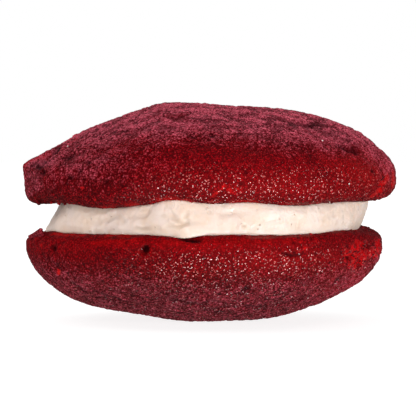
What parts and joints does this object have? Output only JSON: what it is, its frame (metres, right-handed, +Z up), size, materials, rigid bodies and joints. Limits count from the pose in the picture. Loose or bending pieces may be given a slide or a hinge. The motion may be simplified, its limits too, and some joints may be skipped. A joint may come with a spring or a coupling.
{
  "type": "whoopie pie",
  "caption": "Round sandwich of soft domed red velvet cakes, flat faces together, with a thick cream filling showing all round between them; rests on the lower cake's crown.",
  "frame": {"origin": "middle of the pie seen from above, on the surface that it rests on", "axes": "+Z up through both cakes, +X along the widest way across the pie, towards the rounder end; -Y is the front"},
  "size_m": [0.085, 0.0824, 0.0491],
  "materials": {
    "red_crust": "soft baked crust, slightly tacky, satin sheen",
    "cream": "smooth spread cream, slightly moist"
  },
  "bodies": {
    "root": {"upper_cake": "red_crust", "cream_filling": "cream", "lower_cake": "red_crust"}
  },
  "joints": []
}
